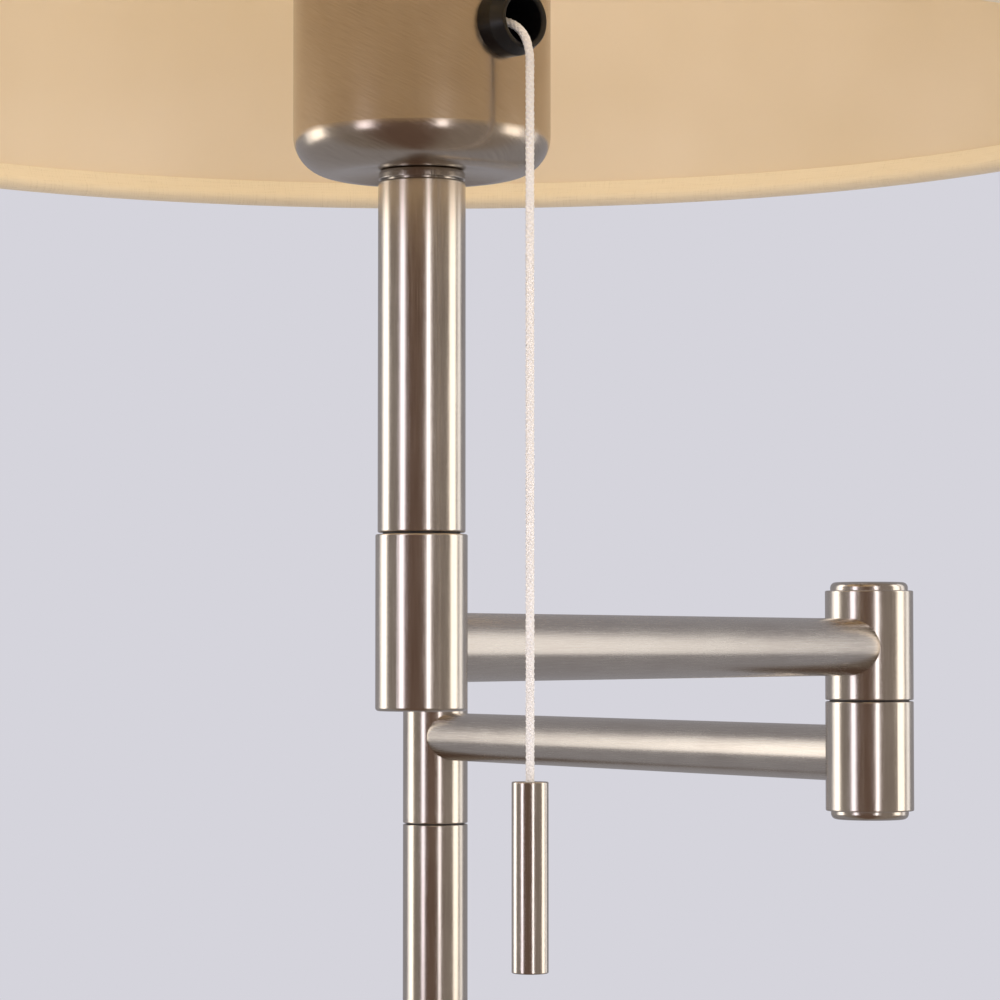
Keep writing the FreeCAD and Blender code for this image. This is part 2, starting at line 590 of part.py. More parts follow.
def pull():
    route = cord_points()
    radii = even_radii(route)
    path = path_through(route, radii)
    pipe("pull_cord", path, value("cord_diameter / 2"))
    print("pull cord:", round(path.Length, 1), "mm, radii", [round(radius, 1) for radius in radii])
    bottom_edge = "pull_diameter / 2"
    weight = turned("pull", [
        ("cord_diameter / 2", "pull_well_depth"), ("pull_well_radius", "pull_well_depth"),
        ("pull_well_radius", "0"), (bottom_edge, "0"), (bottom_edge, "pull_length"),
        ("cord_diameter / 2", "pull_length"),
    ], [(bottom_edge, "0", "pull_edge_round"), (bottom_edge, "pull_length", "pull_edge_round")])
    end = route[-1]
    weight.Placement.Base = V(end.x, end.y, end.z + CORD_INTO_PULL)
    bind(weight, "Placement.Base.z", f"{end.z + CORD_INTO_PULL} - pull_length")
    subpart(weight, "pull_weight")


# ---------------------------------------------------------------- light

def light():
    arms = block("saddle_strip", "2 * saddle_reach", "saddle_width", "saddle_thickness",
                 "-saddle_reach", "-saddle_width / 2", "lid_top")
    sides = [block(f"saddle_upturn_{number}", "saddle_thickness", "saddle_width",
                   "saddle_upturn", x, "-saddle_width / 2", "lid_top")
             for number, x in enumerate(("-saddle_reach", "saddle_reach - saddle_thickness"))]
    saddle = cut("saddle", fuse("saddle_bent", [arms] + sides),
                 rod("saddle_hole", "pin_radius", "saddle_thickness", z="lid_top"))
    subpart(carry(saddle, "head"), "harp_saddle")
    inner = "holder_radius - holder_wall"
    holder_floor = "holder_bottom + holder_floor"
    holder = turned("holder", [
        ("pin_radius + loose_gap", "holder_bottom"), ("holder_radius", "holder_bottom"),
        ("holder_radius", "holder_top"), (inner, "holder_top"), (inner, holder_floor),
        ("pin_radius + loose_gap", holder_floor),
    ], [("holder_radius", "holder_bottom", "2 * holder_wall"),
        ("holder_radius", "holder_top", "holder_wall / 3")])
    subpart(carry(holder, "head"), "lampholder")
    subpart(carry(disc("bulb_screw", "bulb_cap_radius", holder_floor, "bulb_bottom"), "head"), "bulb_cap")
    bulb()
    harp()


def bulb():
    """The bulb's glass: a thin envelope whose neck opens into a ball."""
    def envelope(name, inside):
        globe = doc.addObject("Part::Sphere", name + "_globe")
        bind(globe, "Radius", f"bulb_radius - {inside}")
        bind(globe, "Placement.Base.z", "bulb_bottom + bulb_length - bulb_radius")
        neck = doc.addObject("Part::Cone", name + "_neck")
        bind(neck, "Radius1", f"bulb_neck_radius - {inside}")
        bind(neck, "Radius2", f"bulb_radius * cos(bulb_tangent) - {inside}")
        bind(neck, "Height", "bulb_length - bulb_radius - bulb_radius * sin(bulb_tangent)")
        bind(neck, "Placement.Base.z", "bulb_bottom")
        return fuse(name, [globe, neck])
    glass = cut("bulb_glass_shell", envelope("bulb_outside", "0"), envelope("bulb_inside", "bulb_wall"))
    subpart(carry(glass, "head"), "bulb_glass")


def harp():
    """The wire loop that carries the shade over the bulb, with the threaded stud at its top."""
    wire = value("harp_wire_radius")
    foot = value("saddle_reach - saddle_thickness") - wire
    low, top = value("lid_top + saddle_thickness"), value("harp_top")
    wide, shoulder = value("harp_half_width"), value("harp_shoulder")
    half = [V(foot, 0, low), V(foot, 0, low + shoulder / 2), V(wide, 0, low + 1.5 * shoulder),
            V(wide, 0, top - 1.5 * shoulder), V(wide / 3, 0, top)]
    route = half + [V(-p.x, 0, p.z) for p in reversed(half)]
    loop = Part.Wire(Part.Circle(route[0], V(0, 0, 1), wire).toShape())
    path = path_through(route, even_radii(route))
    solid = path.makePipeShell([loop], True, False)
    stud = Part.makeCylinder(value("stud_radius"), value("stud_length"), V(0, 0, top))
    obj = doc.addObject("Part::Feature", "harp")
    obj.Shape = solid.fuse(stud)
    subpart(carry(obj, "head"), "harp")


# ---------------------------------------------------------------- shade

def skin(name, outside, thickness, low, high):
    """A thin cone between two heights. outside is how far it stands out from the shade's own outer face."""
    def radius_at(height):
        share = f"(({height}) - shade_bottom) / shade_height"
        return f"shade_bottom_radius + (shade_top_radius - shade_bottom_radius) * {share} + ({outside})"
    lower, upper = radius_at(low), radius_at(high)
    return turned(name, [(f"{lower} - {thickness}", low), (lower, low), (upper, high),
                         (f"{upper} - {thickness}", high)])


def shade():
    subpart(carry(skin("fabric", "0", "fabric_thickness", "shade_bottom", "shade_top"), "head"),
            "shade_fabric")
    subpart(carry(skin("liner", "-fabric_thickness", "liner_thickness", "shade_bottom", "shade_top"), "head"),
            "shade_liner")
    trims = doc.addObject("Part::Compound", "trims")
    trims.Links = [
        skin("bottom_trim", "trim_thickness", "trim_thickness", "shade_bottom", "shade_bottom + trim_width"),
        skin("top_trim", "trim_thickness", "trim_thickness", "shade_top - trim_width", "shade_top")]
    subpart(carry(trims, "head"), "shade_trims")
    hoop = "fabric_thickness + liner_thickness + ring_wire_radius + wire_gap"
    bottom = doc.addObject("Part::Torus", "bottom_hoop")
    bind(bottom, "Radius1", f"shade_bottom_radius - ({hoop})")
    bind(bottom, "Radius2", "ring_wire_radius")
    bind(bottom, "Placement.Base.z", "shade_bottom + ring_wire_radius")
    subpart(carry(bottom, "head"), "shade_bottom_ring")
    spider(hoop)


def spider(hoop):
    """The top hoop, and three wires that drop from it to the washer on the harp's stud."""
    top_radius = f"(shade_top_radius - ({hoop}))"
    top = doc.addObject("Part::Torus", "top_hoop")
    bind(top, "Radius1", top_radius)
    bind(top, "Radius2", "ring_wire_radius")
    bind(top, "Placement.Base.z", "shade_top - ring_wire_radius")
    hub = ring("spider_hub", "spider_hub_radius", "stud_radius + loose_gap / 2", "spider_bottom",
               "spider_bottom + spider_hub_thickness")
    hub_edge = "(spider_hub_radius - spider_wire_radius)"
    run = f"({top_radius} - {hub_edge})"
    rise = "(spider_drop + spider_hub_thickness / 2 - ring_wire_radius)"
    wires = []
    for number in range(3):
        bearing = 90 + 120 * number
        ahead, across = round(math.cos(math.radians(bearing)), 9), round(math.sin(math.radians(bearing)), 9)
        wires.append(rod(f"spider_wire_{number}", "spider_wire_radius", f"sqrt({run} ^ 2 + {rise} ^ 2)",
                         f"90 deg - atan({rise} / {run})", bearing, x=f"{hub_edge} * {ahead}",
                         y=f"{hub_edge} * {across}", z="spider_bottom + spider_hub_thickness / 2"))
    bore = rod("spider_bore", "stud_radius + loose_gap / 2", "4 * spider_wire_radius",
               z="spider_bottom - spider_wire_radius")
    subpart(carry(cut("spider", fuse("spider_welded", [top, hub] + wires), bore), "head"), "shade_spider")
    low = "spider_bottom + spider_hub_thickness"
    shoulder = f"{low} + finial_height - finial_cone"
    tip = f"{low} + finial_height"
    knob = turned("finial_knob", [
        ("stud_radius", low), ("finial_radius", low), ("finial_radius", shoulder), ("0", tip),
        ("0", f"{tip} - finial_roof"), ("stud_radius", f"{tip} - finial_roof"),
    ], [("finial_radius", shoulder, "finial_cone / 2")])
    subpart(carry(knob, "head"), "finial")


# ---------------------------------------------------------------- build, check and write

def check():
    """Stops if the document holds a failed object, or if a sub-part has no sound solid."""
    doc.recompute()
    for obj in doc.Objects:
        if "Invalid" in obj.State or "Error" in obj.State:
            raise RuntimeError(f"{obj.Name} failed: {obj.State}")
    for obj in subparts:
        if obj.Shape.isNull() or not obj.Shape.isValid() or obj.Shape.Volume <= 0:
            raise RuntimeError(f"{obj.Label} has no sound solid")


def write():
    os.makedirs("parts", exist_ok=True)
    for obj in subparts:
        obj.Shape.exportStep(os.path.join("parts", obj.Label + ".step"))
    print(len(subparts), "sub-parts written")


fill_sheets()
base()
pole()
lower_arm()
upper_arm()
stem()
cup()
pull_switch()
pull()
light()
shade()
check()
write()
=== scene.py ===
# %% [markdown]
# # A swing-arm floor lamp in brushed nickel
# The lamp's tubes, knuckles, cup and shade come packed from CAD as a fixed frame, in metres. This script
# keeps that frame where it is, gives each piece its real finish, and makes what CAD leaves plain: the braided
# pull cord, the shade's cloth, the turned edges and the bulb. Places are read from the frame. Only the bush's
# bearing, the cord's points and the sections of a few turned pieces repeat what CAD has.

# %% Load the frame
import bpy
import math
from mathutils import Matrix, Vector


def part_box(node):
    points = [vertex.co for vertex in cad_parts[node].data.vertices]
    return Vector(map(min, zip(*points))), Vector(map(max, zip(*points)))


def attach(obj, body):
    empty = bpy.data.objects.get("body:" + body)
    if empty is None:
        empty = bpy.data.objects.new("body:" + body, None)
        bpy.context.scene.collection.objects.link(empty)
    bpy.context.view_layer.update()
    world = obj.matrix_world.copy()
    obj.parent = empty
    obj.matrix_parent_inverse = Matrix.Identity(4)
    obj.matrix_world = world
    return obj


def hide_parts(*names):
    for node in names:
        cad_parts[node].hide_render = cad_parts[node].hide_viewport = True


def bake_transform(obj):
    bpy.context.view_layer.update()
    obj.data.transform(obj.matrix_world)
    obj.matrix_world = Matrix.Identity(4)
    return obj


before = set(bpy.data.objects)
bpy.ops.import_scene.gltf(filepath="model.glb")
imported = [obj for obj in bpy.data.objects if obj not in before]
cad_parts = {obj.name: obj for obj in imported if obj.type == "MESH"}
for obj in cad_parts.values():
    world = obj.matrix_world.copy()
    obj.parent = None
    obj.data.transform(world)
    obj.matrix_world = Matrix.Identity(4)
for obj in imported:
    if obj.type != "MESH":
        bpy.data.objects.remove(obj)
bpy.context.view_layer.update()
MM = 0.001

# %% [markdown]
# ## Places
# The lamp turns about three upright axes. Each axis is the middle of a round piece's box: the elbow's comes
# from its cap and the head's from the stem. The pole stands at the origin. The bush can't be read that way,
# because it sticks out of the cup at an angle, so its bearing is the one that CAD uses.

# %% Read the axes and heights
BUSH_BEARING = -49


def middle(node):
    low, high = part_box(node)
    return (low + high) / 2


def height_of(node, end):
    """The lowest (end 0) or highest (end 1) height of a CAD node."""
    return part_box(node)[end].z


def radius_of(node):
    low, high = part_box(node)
    return (high.x - low.x) / 2


pole_axis = Vector((0, 0, 0))
elbow_axis = middle("elbow_top_cap")
head_axis = middle("stem_tube")
elbow_axis.z = head_axis.z = 0
bush_yaw = math.radians(BUSH_BEARING)
bush_height = middle("cord_bush").z
print("elbow axis", elbow_axis, "head axis", head_axis)

# %% [markdown]
# ## Camera
# A long lens keeps the tubes nearly parallel, as in a product close-up. The camera stands at about the
# elbow's height and looks slightly up, under the shade.

# %% Set the camera
CAMERA_PLACE = Vector((0.0220, -1.1936, 1.161))
CAMERA_PITCH = 2.37
LENS, SENSOR = 126, 36


def set_camera():
    camera = bpy.data.objects.new("camera", bpy.data.cameras.new("camera"))
    bpy.context.scene.collection.objects.link(camera)
    camera.data.lens = LENS
    camera.data.sensor_width = SENSOR
    camera.data.clip_start = 0.05
    upright = math.radians(90)
    look = Matrix.Rotation(upright + math.radians(CAMERA_PITCH), 4, "X")
    camera.matrix_world = Matrix.Translation(CAMERA_PLACE) @ look
    bpy.context.scene.camera = camera
    return camera


camera = set_camera()
print("camera at", tuple(camera.location))

# %% [markdown]
# ## The pull cord's line
# The cord leaves the switch through the black bush, tips over the bush's lip and hangs straight under the
# weight of the pull. Its points are the ones CAD uses: how far along the bush, sideways and above its axis.
# One more point just below the lip keeps the long hanging stretch straight. A NURBS spline that they steer
# has no kinks, and everything that follows the cord is read from it.

# %% Draw the cord's line
CORD_ROUTE = [(19.6, -4.4, 1.6), (30.8, -1.9, 0.9), (37.2, 0.0, -4.4), (37.2, 0.0, -15.0),
              (37.2, 0.0, -202.0)]
CORD_DIAMETER = 2.1 * MM


def beside_bush(reach, sideways, up):
    """A point given along the bush, beside it and above its axis, in millimetres."""
    out = Vector((math.cos(bush_yaw), math.sin(bush_yaw), 0))
    side = Vector((-math.sin(bush_yaw), math.cos(bush_yaw), 0))
    return head_axis + (out * reach + side * sideways) * MM + Vector((0, 0, bush_height + up * MM))


def nurbs_line(points):
    """The points of a smooth spline that the given ones control."""
    curve = bpy.data.curves.new("line", "CURVE")
    curve.dimensions = "3D"
    spline = curve.splines.new("NURBS")
    spline.points.add(len(points) - 1)
    for point, place in zip(spline.points, points):
        point.co = (*place, 1)
    spline.order_u = 3
    spline.use_endpoint_u = True
    spline.resolution_u = 24
    holder = bpy.data.objects.new("line", curve)
    bpy.context.scene.collection.objects.link(holder)
    mesh = bpy.data.meshes.new_from_object(holder.evaluated_get(bpy.context.evaluated_depsgraph_get()))
    line = [vertex.co.copy() for vertex in mesh.vertices]
    bpy.data.objects.remove(holder)
    bpy.data.meshes.remove(mesh)
    return line


def length_of(line):
    return sum((b - a).length for a, b in zip(line, line[1:]))


cord_line = nurbs_line([beside_bush(*point) for point in CORD_ROUTE])
print("cord line:", len(cord_line), "points,", round(length_of(cord_line), 4), "m")

# %% [markdown]
# ## Braiding the cord
# A cotton pull cord is braided from eight strands: four wind one way and four the other, and each passes over
# one and under the next. Each strand is a thin tube round the cord's line whose distance from it rises and
# falls as it goes over and under, so the weave is real geometry.

# %% Braid eight strands
STRANDS = 8
# A strand's thickness as a share of the cord's, and how deep it dips as a share of its own.
STRAND_SHARE, BRAID_RELIEF = 0.42, 0.22
# One whole turn of a strand, and the steps that it is drawn in.
BRAID_PITCH, BRAID_STEPS = 5.2 * MM, 16


def along(line, step):
    """Evenly spaced (point, direction, side) triples along a line; the side turns as little as it can."""
    spaced, left = [line[0]], step
    for a, b in zip(line, line[1:]):
        span = (b - a).length
        while left <= span:
            spaced.append(a.lerp(b, left / span))
            left += step
        left -= span
    side = Vector((0, 0, 1))
    frames = []
    for i, point in enumerate(spaced):
        ahead = spaced[min(i + 1, len(spaced) - 1)] - spaced[max(i - 1, 0)]
        ahead.normalize()
        side = (side - ahead * side.dot(ahead)).normalized()
        frames.append((point, ahead, side.copy()))
    return frames


def braid(name, line, diameter):
    strand = diameter * STRAND_SHARE
    frames = along(line, BRAID_PITCH / BRAID_STEPS)
    curve = bpy.data.curves.new(name, "CURVE")
    curve.dimensions = "3D"
    curve.bevel_depth = strand / 2
    curve.bevel_resolution = 1
    curve.use_fill_caps = True
    for number in range(STRANDS):
        hand = 1 if number % 2 else -1
        first = math.tau * (number // 2) / (STRANDS / 2)
        spline = curve.splines.new("POLY")
        spline.points.add(len(frames) - 1)
        for i, (point, ahead, side) in enumerate(frames):
            turned = math.tau * i / BRAID_STEPS
            over = math.cos(STRANDS / 2 * turned) * hand
            reach = diameter / 2 - strand * (0.5 + BRAID_RELIEF * (1 - over) / 2)
            angle = hand * turned + first
            outward = side * math.cos(angle) + ahead.cross(side) * math.sin(angle)
            spline.points[i].co = (*(point + outward * reach), 1)
    holder = bpy.data.objects.new(name, curve)
    bpy.context.scene.collection.objects.link(holder)
    bpy.ops.object.select_all(action="DESELECT")
    holder.select_set(True)
    bpy.context.view_layer.objects.active = holder
    bpy.ops.object.convert(target="MESH")
    bpy.ops.object.shade_smooth()
    return bpy.context.object


pull_cord_braid = braid("pull_cord_braid", cord_line, CORD_DIAMETER)
print("braid:", len(pull_cord_braid.data.polygons), "faces")

# %% [markdown]
# ## Light and background
# Satin metal shows the room in upright stripes. So the room is built for it: a soft, even grey behind, a warm
# brown dimness in front, and six tall softboxes whose bearings set where the bright stripes fall on every
# upright tube. Three lights leave no stripes: a broad one in front for the cord, a wide one over the floor,
# and a disc inside the shade that stands in for daylight through its cloth. The camera sees a plain pale
# lilac-grey behind.

# %% Colours and node helper
def colour(code):
    """A six-digit sRGB hex colour as linear red, green, blue and alpha."""
    parts = [int(code[i:i + 2], 16) / 255 for i in (0, 2, 4)]
    return (*[c / 12.92 if c <= 0.04045 else ((c + 0.055) / 1.055) ** 2.4 for c in parts], 1)


def add_node(tree, kind, settings=None, links=None):
    """Adds a node; settings are its own properties or its inputs by name, links are inputs fed by sockets."""
    node = tree.nodes.new(kind)
    for key, setting in (settings or {}).items():
        if isinstance(key, str) and hasattr(node, key):
            setattr(node, key, setting)
        else:
            node.inputs[key].default_value = setting
    for key, socket in (links or {}).items():
        tree.links.new(socket, node.inputs[key])
    return node


def set_ramp(node, stops):
    """Gives a Color Ramp its (position, linear colour) stops."""
    elements = node.color_ramp.elements
    while len(elements) < len(stops):
        elements.new(0.5)
    for element, (position, shade) in zip(elements, stops):
        element.position = position
        element.color = shade
    return node


# %% Paint the room
def paint_room():
    world = bpy.data.worlds.new("studio")
    bpy.context.scene.world = world
    world.use_nodes = True
    tree = world.node_tree
    tree.nodes.clear()
    direction = add_node(tree, "ShaderNodeTexCoord")
    bearing = add_node(tree, "ShaderNodeTexGradient", {"gradient_type": "RADIAL"},
                       {"Vector": direction.outputs["Generated"]})
    wall, left, brown, right = colour("A3A1A6"), colour("958C86"), colour("755F53"), colour("9A8F87")
    room = set_ramp(add_node(tree, "ShaderNodeValToRGB", {}, {"Fac": bearing.outputs["Fac"]}), [
        (0.00, left), (0.08, left), (0.14, brown), (0.27, brown), (0.35, right), (0.50, right),
        (0.56, wall), (0.94, wall)])
    seen = add_node(tree, "ShaderNodeBackground", {"Color": colour("D5D4DC")})
    lighting = add_node(tree, "ShaderNodeBackground", {}, {"Color": room.outputs["Color"]})
    ray = add_node(tree, "ShaderNodeLightPath")
    mix = add_node(tree, "ShaderNodeMixShader", {}, {0: ray.outputs["Is Camera Ray"],
                                                    1: lighting.outputs[0], 2: seen.outputs[0]})
    add_node(tree, "ShaderNodeOutputWorld", {}, {"Surface": mix.outputs[0]})


paint_room()
bpy.context.scene.view_settings.view_transform = "Standard"
print("painted", bpy.context.scene.world.name)

# %% Hang the lights
def area_light(name, bearing, distance, size, height, power, tint):
    """A light round the head's axis, of a (width, height), that faces the axis. Bearing 0 is in front of the
    lamp and 90 on its right."""
    light = bpy.data.lights.new(name, "AREA")
    light.shape = "RECTANGLE"
    light.size, light.size_y = size
    light.energy = power
    light.color = colour(tint)[:3]
    holder = bpy.data.objects.new(name, light)
    bpy.context.scene.collection.objects.link(holder)
    turn = math.radians(bearing)
    place = Vector((math.sin(turn), -math.cos(turn), 0)) * distance
    holder.location = head_axis + place + Vector((0, 0, height))
    holder.rotation_euler = (math.radians(90), 0, turn)
    holder.visible_camera = False
    return holder


def overhead(name, across, height, power, tint):
    """A round light above the head's axis that faces down and leaves no stripe on the metal."""
    light = area_light(name, 0, 0, (across, across), height, power, tint)
    light.data.shape = "DISK"
    light.rotation_euler = (0, 0, 0)
    light.visible_glossy = False


SOFTBOX_TALL, SOFTBOX_MIDDLE = 1.9, 1.70
# Name, bearing, distance and width in metres, power in watts, and tint.
SOFTBOXES = [
    ("softbox_far_left", -119, 2.0, 0.40, 3.2, "F8F6F4"),
    ("softbox_left", -105, 2.0, 0.60, 11, "FFF7EE"),
    ("softbox_front_left", -50, 2.2, 0.50, 9.5, "F4F0FF"),
    ("softbox_front", 19, 2.2, 0.32, 8, "FBF8FF"),
    ("softbox_right", 90, 2.0, 0.80, 11.5, "FFF7EE"),
    ("softbox_far_right", 117, 2.0, 0.50, 4.2, "F8F6F4")]
for name, bearing, distance, width, power, tint in SOFTBOXES:
    area_light(name, bearing, distance, (width, SOFTBOX_TALL), SOFTBOX_MIDDLE, power, tint)
overhead("glow_in_shade", across=0.24, height=1.47, power=0.36, tint="FFF4E0")
front_fill = area_light("front_fill", bearing=8, distance=2.4, size=(1.6, 1.2), height=1.15, power=26,
                        tint="FBFAFF")
front_fill.visible_glossy = False
overhead("ceiling_light", across=7, height=4.5, power=150, tint="FBFAFF")

# %% [markdown]
# ## Floor
# A wide disc of pale matte plaster carries the lamp. Mirror rays don't see it, so the cup's underside and the
# arms show the dim room, as they do in a room with a darker floor.

# %% Lay the floor
FLOOR_RADIUS = 8.5


def lay_floor():
    bpy.ops.object.select_all(action="DESELECT")
    bpy.ops.mesh.primitive_circle_add(vertices=96, radius=FLOOR_RADIUS, fill_type="NGON",
                                      location=(0, 0, 0))
    floor = bpy.context.object
    floor.name = "floor"
    plaster = bpy.data.materials.new("matte plaster floor")
    plaster.use_nodes = True
    shader = plaster.node_tree.nodes["Principled BSDF"]
    shader.inputs["Base Color"].default_value = colour("D8D6DA")
    shader.inputs["Roughness"].default_value = 0.8
    floor.data.materials.append(plaster)
    floor.visible_glossy = False
    print("floor", FLOOR_RADIUS, "m in radius")


lay_floor()

# %% [markdown]
# ## Brushed nickel
# The tubes, knuckles and cup are steel plated with nickel and brushed with a fine abrasive, then lacquered.
# Nickel is a warm grey metal. The brushing leaves hair-fine scratches along each tube, so highlights spread
# across the tube and are streaky along it. On the cup the scratches slant down to the right, and are wound
# round it so that they stay even on its side. Scratches of 0.05 mm wouldn't show at this scale, so they are
# drawn 0.16 to 0.2 mm wide and 6 to 12 mm long. A slow blotchiness of 22 mm is how the plating varies.

# %% Make brushed nickel for a given grain
BLOTCH = 22 * MM


def new_material(name):
    material = bpy.data.materials.new(name)
    material.use_nodes = True
    tree = material.node_tree
    return material, tree, tree.nodes["Principled BSDF"]


def wound(tree, place, axis, radius):
    """Coordinates that run round an upright axis, in metres at a radius, and up it."""
    shifted = add_node(tree, "ShaderNodeMapping", {"Location": (-axis.x, -axis.y, 0)},
                       {"Vector": place.outputs["Object"]})
    split = add_node(tree, "ShaderNodeSeparateXYZ", {}, {"Vector": shifted.outputs["Vector"]})
    angle = add_node(tree, "ShaderNodeMath", {"operation": "ARCTAN2"},
                     {0: split.outputs["X"], 1: split.outputs["Y"]})
    around = add_node(tree, "ShaderNodeMath", {"operation": "MULTIPLY", 1: radius}, {0: angle.outputs[0]})
    return add_node(tree, "ShaderNodeCombineXYZ", {},
                    {"X": around.outputs[0], "Z": split.outputs["Z"]}).outputs["Vector"]


def brushed_nickel(name, bearing=0.0, tilt=90.0, width=0.16 * MM, length=12 * MM,
                   dark="B9B0A6", light="CBC4BA", smooth=0.17, rough=0.25, depth=0.01 * MM, wrap=None):
    """Nickel whose grain runs along a bearing (degrees from +X), tilted up by tilt; 90 is upright. With wrap,
    an (axis, radius) pair, the grain is laid flat and wound round an upright axis instead."""
    material, tree, shader = new_material(name)
    place = add_node(tree, "ShaderNodeTexCoord")
    grain_place = wound(tree, place, *wrap) if wrap else place.outputs["Object"]
    turn = add_node(tree, "ShaderNodeMapping", {"vector_type": "TEXTURE",
                    "Rotation": (0, -math.radians(tilt), math.radians(bearing))},
                    {"Vector": grain_place})
    stretch = add_node(tree, "ShaderNodeMapping", {"Scale": (1 / length, 1 / width, 1 / width)},
                       {"Vector": turn.outputs["Vector"]})
    grain = add_node(tree, "ShaderNodeTexNoise", {"Scale": 1.0, "Detail": 2.0, "Roughness": 0.6},
                     {"Vector": stretch.outputs["Vector"]})
    blotch = add_node(tree, "ShaderNodeTexNoise", {"Scale": 1 / BLOTCH, "Detail": 2.0},
                      {"Vector": place.outputs["Object"]})
    mixed = add_node(tree, "ShaderNodeMath", {"operation": "MULTIPLY_ADD", 1: 0.5},
                     {0: blotch.outputs["Fac"], 2: grain.outputs["Fac"]})
    tone = set_ramp(add_node(tree, "ShaderNodeValToRGB", {}, {"Fac": mixed.outputs[0]}),
                    [(0.5, colour(dark)), (1.0, colour(light))])
    tree.links.new(tone.outputs["Color"], shader.inputs["Base Color"])
    gloss = add_node(tree, "ShaderNodeMapRange", {"From Min": 0.5, "From Max": 1.0, "To Min": smooth,
                                                  "To Max": rough}, {"Value": mixed.outputs[0]})
    tree.links.new(gloss.outputs["Result"], shader.inputs["Roughness"])
    bump = add_node(tree, "ShaderNodeBump", {"Strength": 0.2, "Distance": depth},
                    {"Height": grain.outputs["Fac"]})
    tree.links.new(bump.outputs["Normal"], shader.inputs["Normal"])
    shader.inputs["Metallic"].default_value = 1.0
    return material


upright_nickel = brushed_nickel("brushed nickel, upright grain")
print("made", upright_nickel.name)

# %% Dress the CAD pieces of metal
def dress(material, *nodes):
    """Gives CAD nodes, or any piece, one material all over."""
    for node in nodes:
        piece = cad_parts[node] if isinstance(node, str) else node
        piece.data.materials.clear()
        piece.data.materials.append(material)


def bearing_between(a, b):
    return math.degrees(math.atan2(b.y - a.y, b.x - a.x))


lower_arm_bearing = bearing_between(pole_axis, elbow_axis)
upper_arm_bearing = bearing_between(elbow_axis, head_axis)
lower_arm_nickel = brushed_nickel("brushed nickel, lower arm", lower_arm_bearing, tilt=0, smooth=0.22,
                                  rough=0.29)
upper_arm_nickel = brushed_nickel("brushed nickel, upper arm", upper_arm_bearing, tilt=0, smooth=0.22,
                                  rough=0.29)
cup_nickel = brushed_nickel("brushed nickel, slanting grain", tilt=26, width=0.2 * MM, length=6 * MM,
                            smooth=0.20, rough=0.27, dark="AFA395", light="C3B8AA", depth=0.006 * MM,
                            wrap=(head_axis, radius_of("cup_shell")))
dress(upright_nickel, "lower_pole_tube", "middle_pole_tube", "upper_pole_tube", "pole_knuckle",
      "pole_knuckle_cap", "pole_foot_ring", "elbow_lower_knuckle", "elbow_upper_knuckle", "elbow_top_cap",
      "elbow_bottom_cap", "head_hub", "hub_bottom_plug", "stem_tube", "stem_collar", "pull_weight",
      "base_cover")
dress(cup_nickel, "cup_shell", "cup_lid")
dress(lower_arm_nickel, "lower_arm_tube")
dress(upper_arm_nickel, "upper_arm_tube")
print("arm bearings", round(lower_arm_bearing, 2), round(upper_arm_bearing, 2))

# %% [markdown]
# ## The cord's cotton and its two ends
# Unbleached cotton is a soft off-white with no gloss, and fibres of 0.4 mm make it uneven. The cord crosses
# from the head, which holds its switch, to the pull, which slides down when it is pulled.

# %% Dress the cord
def cotton():
    material, tree, shader = new_material("braided cotton, unbleached")
    place = add_node(tree, "ShaderNodeTexCoord")
    fibre = add_node(tree, "ShaderNodeTexNoise", {"Scale": 1 / (0.4 * MM), "Detail": 4.0},
                     {"Vector": place.outputs["Object"]})
    tone = set_ramp(add_node(tree, "ShaderNodeValToRGB", {}, {"Fac": fibre.outputs["Fac"]}),
                    [(0.3, colour("E2DED6")), (0.7, colour("F1EEE9"))])
    tree.links.new(tone.outputs["Color"], shader.inputs["Base Color"])
    shader.inputs["Roughness"].default_value = 0.75
    shader.inputs["Sheen Weight"].default_value = 0.4
    return material


dress(cotton(), pull_cord_braid)
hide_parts("pull_cord")
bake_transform(pull_cord_braid)
print("fastened", pull_cord_braid.name, "between the head and the pull")

# %% [markdown]
# ## Turning pieces
# The shade, its hems, the bush and the bulb's screw cap are round. A round piece is easiest to make as on a
# lathe: one point is pulled along half of the section, and the line is spun round the axis. Corners that are
# rounded on the real piece are drawn as arcs first.

# %% Build a lathe
ARC_STEPS = 6


def rounded(corners):
    """An outline's points. A corner given as (radius, height, round) becomes an arc."""
    points = []
    for i, (across, up, *round_radius) in enumerate(corners):
        here = Vector((across, up))
        if not round_radius:
            points.append(here)
            continue
        come = (Vector(corners[i - 1][:2]) - here).normalized()
        go = (Vector(corners[i + 1][:2]) - here).normalized()
        half = come.angle(go) / 2
        centre = here + (come + go).normalized() * round_radius[0] / math.sin(half)
        start = here + come * round_radius[0] / math.tan(half) - centre
        end = here + go * round_radius[0] / math.tan(half) - centre
        sweep = math.pi - 2 * half
        for step in range(ARC_STEPS + 1):
            share = step / ARC_STEPS
            points.append(centre + (start * math.sin((1 - share) * sweep) + end * math.sin(share * sweep))
                          / math.sin(sweep))
    return points


